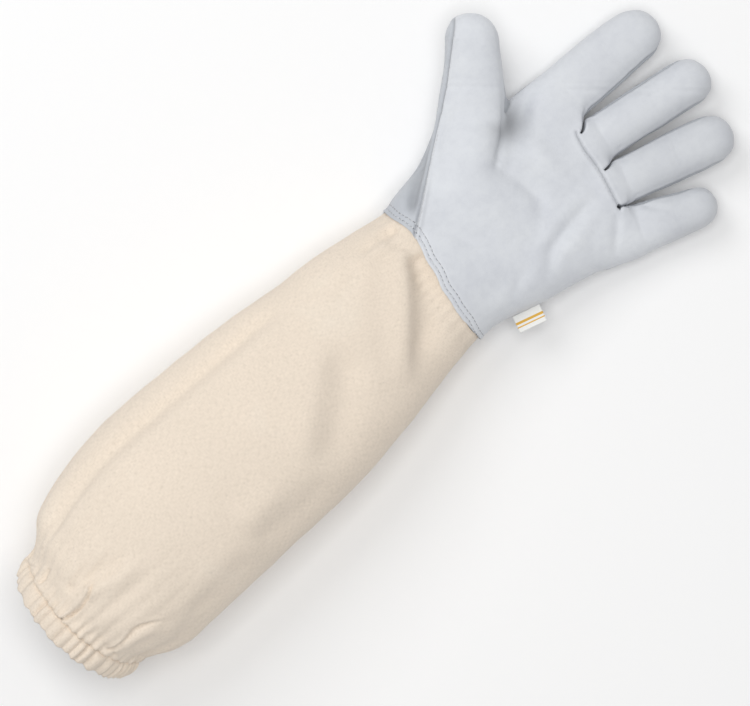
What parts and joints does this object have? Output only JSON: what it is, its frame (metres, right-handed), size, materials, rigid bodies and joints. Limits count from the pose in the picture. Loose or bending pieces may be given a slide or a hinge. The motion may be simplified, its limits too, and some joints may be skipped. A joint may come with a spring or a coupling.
{
  "type": "beekeeping glove",
  "caption": "Left-hand beekeeping glove: goatskin hand with a gunn-cut palm and forked fingers, sewn to a long cotton canvas gauntlet with an elasticated hem.",
  "frame": {"origin": "centre of the underside of the glove's bounding box, on the surface it lies on", "axes": "+X from the hem to the fingertips, +Y towards the thumb side, +Z out of the palm"},
  "size_m": [0.5232, 0.1976, 0.104],
  "materials": {
    "goatskin_palm": "matte",
    "goatskin_back": "matte",
    "goatskin_fourchette": "matte",
    "cotton_canvas": "matte",
    "elastic_rubber": "matte",
    "sewing_thread": "matte",
    "woven_tag": "matte"
  },
  "bodies": {
    "sleeve": {"elastic_band": "elastic_rubber", "hem_casing": "cotton_canvas", "hem_stitching": "sewing_thread", "sleeve_canvas": "cotton_canvas", "sleeve_seam_allowance": "cotton_canvas", "sleeve_wrist_canvas": "cotton_canvas"},
    "hand": {"back_panel": "goatskin_back", "gunn_stitching": "sewing_thread", "middle_ring_insert": "goatskin_palm", "palm_panel": "goatskin_palm", "thumb_back": "goatskin_back", "thumb_front": "goatskin_palm", "wrist_stitching_1": "sewing_thread", "wrist_stitching_2": "sewing_thread"},
    "index_base": {"index_back": "goatskin_back", "index_fourchette_little_side": "goatskin_fourchette", "index_front": "goatskin_palm"},
    "index_tip": {"index_tip_back": "goatskin_back", "index_tip_fourchette_little_side": "goatskin_fourchette", "index_tip_front": "goatskin_palm"},
    "middle_base": {"middle_back": "goatskin_back", "middle_fourchette_little_side": "goatskin_fourchette", "middle_fourchette_thumb_side": "goatskin_fourchette", "middle_front": "goatskin_palm"},
    "middle_tip": {"middle_tip_back": "goatskin_back", "middle_tip_fourchette_little_side": "goatskin_fourchette", "middle_tip_fourchette_thumb_side": "goatskin_fourchette", "middle_tip_front": "goatskin_palm"},
    "ring_base": {"ring_back": "goatskin_back", "ring_fourchette_little_side": "goatskin_fourchette", "ring_fourchette_thumb_side": "goatskin_fourchette", "ring_front": "goatskin_palm"},
    "ring_tip": {"ring_tip_back": "goatskin_back", "ring_tip_fourchette_little_side": "goatskin_fourchette", "ring_tip_fourchette_thumb_side": "goatskin_fourchette", "ring_tip_front": "goatskin_palm"},
    "little_base": {"little_back": "goatskin_back", "little_fourchette_thumb_side": "goatskin_fourchette", "little_front": "goatskin_palm"},
    "little_tip": {"little_tip_back": "goatskin_back", "little_tip_fourchette_thumb_side": "goatskin_fourchette", "little_tip_front": "goatskin_palm"},
    "thumb_tip": {"thumb_tip_back": "goatskin_back", "thumb_tip_front": "goatskin_palm"},
    "label": {"label_tag": "woven_tag"}
  },
  "joints": [
    {"name": "wrist_bend", "type": "hinge", "parent": "sleeve", "child": "hand", "pos_m": [0.02236, 0, 0.04], "axis": [0, -1, 0], "range_deg": [-30, 45], "deforming": ["sleeve_wrist_canvas"]},
    {"name": "index_knuckle_bend", "type": "hinge", "parent": "hand", "child": "index_base", "pos_m": [0.19086, 0.01973, 0.02108], "axis": [-0.0732, -0.9973, 0], "range_deg": [0, 60]},
    {"name": "index_middle_bend", "type": "hinge", "parent": "index_base", "child": "index_tip", "pos_m": [0.22375, 0.01732, 0.02223], "axis": [-0.0732, -0.9973, 0], "range_deg": [0, 60]},
    {"name": "middle_knuckle_bend", "type": "hinge", "parent": "hand", "child": "middle_base", "pos_m": [0.18706, -0.01477, 0.02108], "axis": [-0.2062, -0.9785, 0], "range_deg": [0, 60]},
    {"name": "middle_middle_bend", "type": "hinge", "parent": "middle_base", "child": "middle_tip", "pos_m": [0.22324, -0.02239, 0.02237], "axis": [-0.2062, -0.9785, 0], "range_deg": [0, 60]},
    {"name": "ring_knuckle_bend", "type": "hinge", "parent": "hand", "child": "ring_base", "pos_m": [0.17906, -0.04297, 0.02096], "axis": [-0.3486, -0.9373, 0], "range_deg": [0, 60]},
    {"name": "ring_middle_bend", "type": "hinge", "parent": "ring_base", "child": "ring_tip", "pos_m": [0.21091, -0.05481, 0.02215], "axis": [-0.3486, -0.9373, 0], "range_deg": [0, 60]},
    {"name": "little_knuckle_bend", "type": "hinge", "parent": "hand", "child": "little_base", "pos_m": [0.16486, -0.06947, 0.02036], "axis": [-0.4555, -0.8902, 0], "range_deg": [0, 60]},
    {"name": "little_middle_bend", "type": "hinge", "parent": "little_base", "child": "little_tip", "pos_m": [0.18532, -0.07994, 0.02116], "axis": [-0.4555, -0.8902, 0], "range_deg": [0, 60]},
    {"name": "thumb_bend", "type": "hinge", "parent": "hand", "child": "thumb_tip", "pos_m": [0.15036, 0.06063, 0.03892], "axis": [0.7071, -0.7071, 0], "range_deg": [0, 60]},
    {"name": "label_flap", "type": "hinge", "parent": "hand", "child": "label", "pos_m": [0.07126, -0.05532, 0.0274], "axis": [0.9455, -0.3256, 0], "range_deg": [-70, 70], "stiffness_Nm_per_rad": 0.0006}
  ]
}
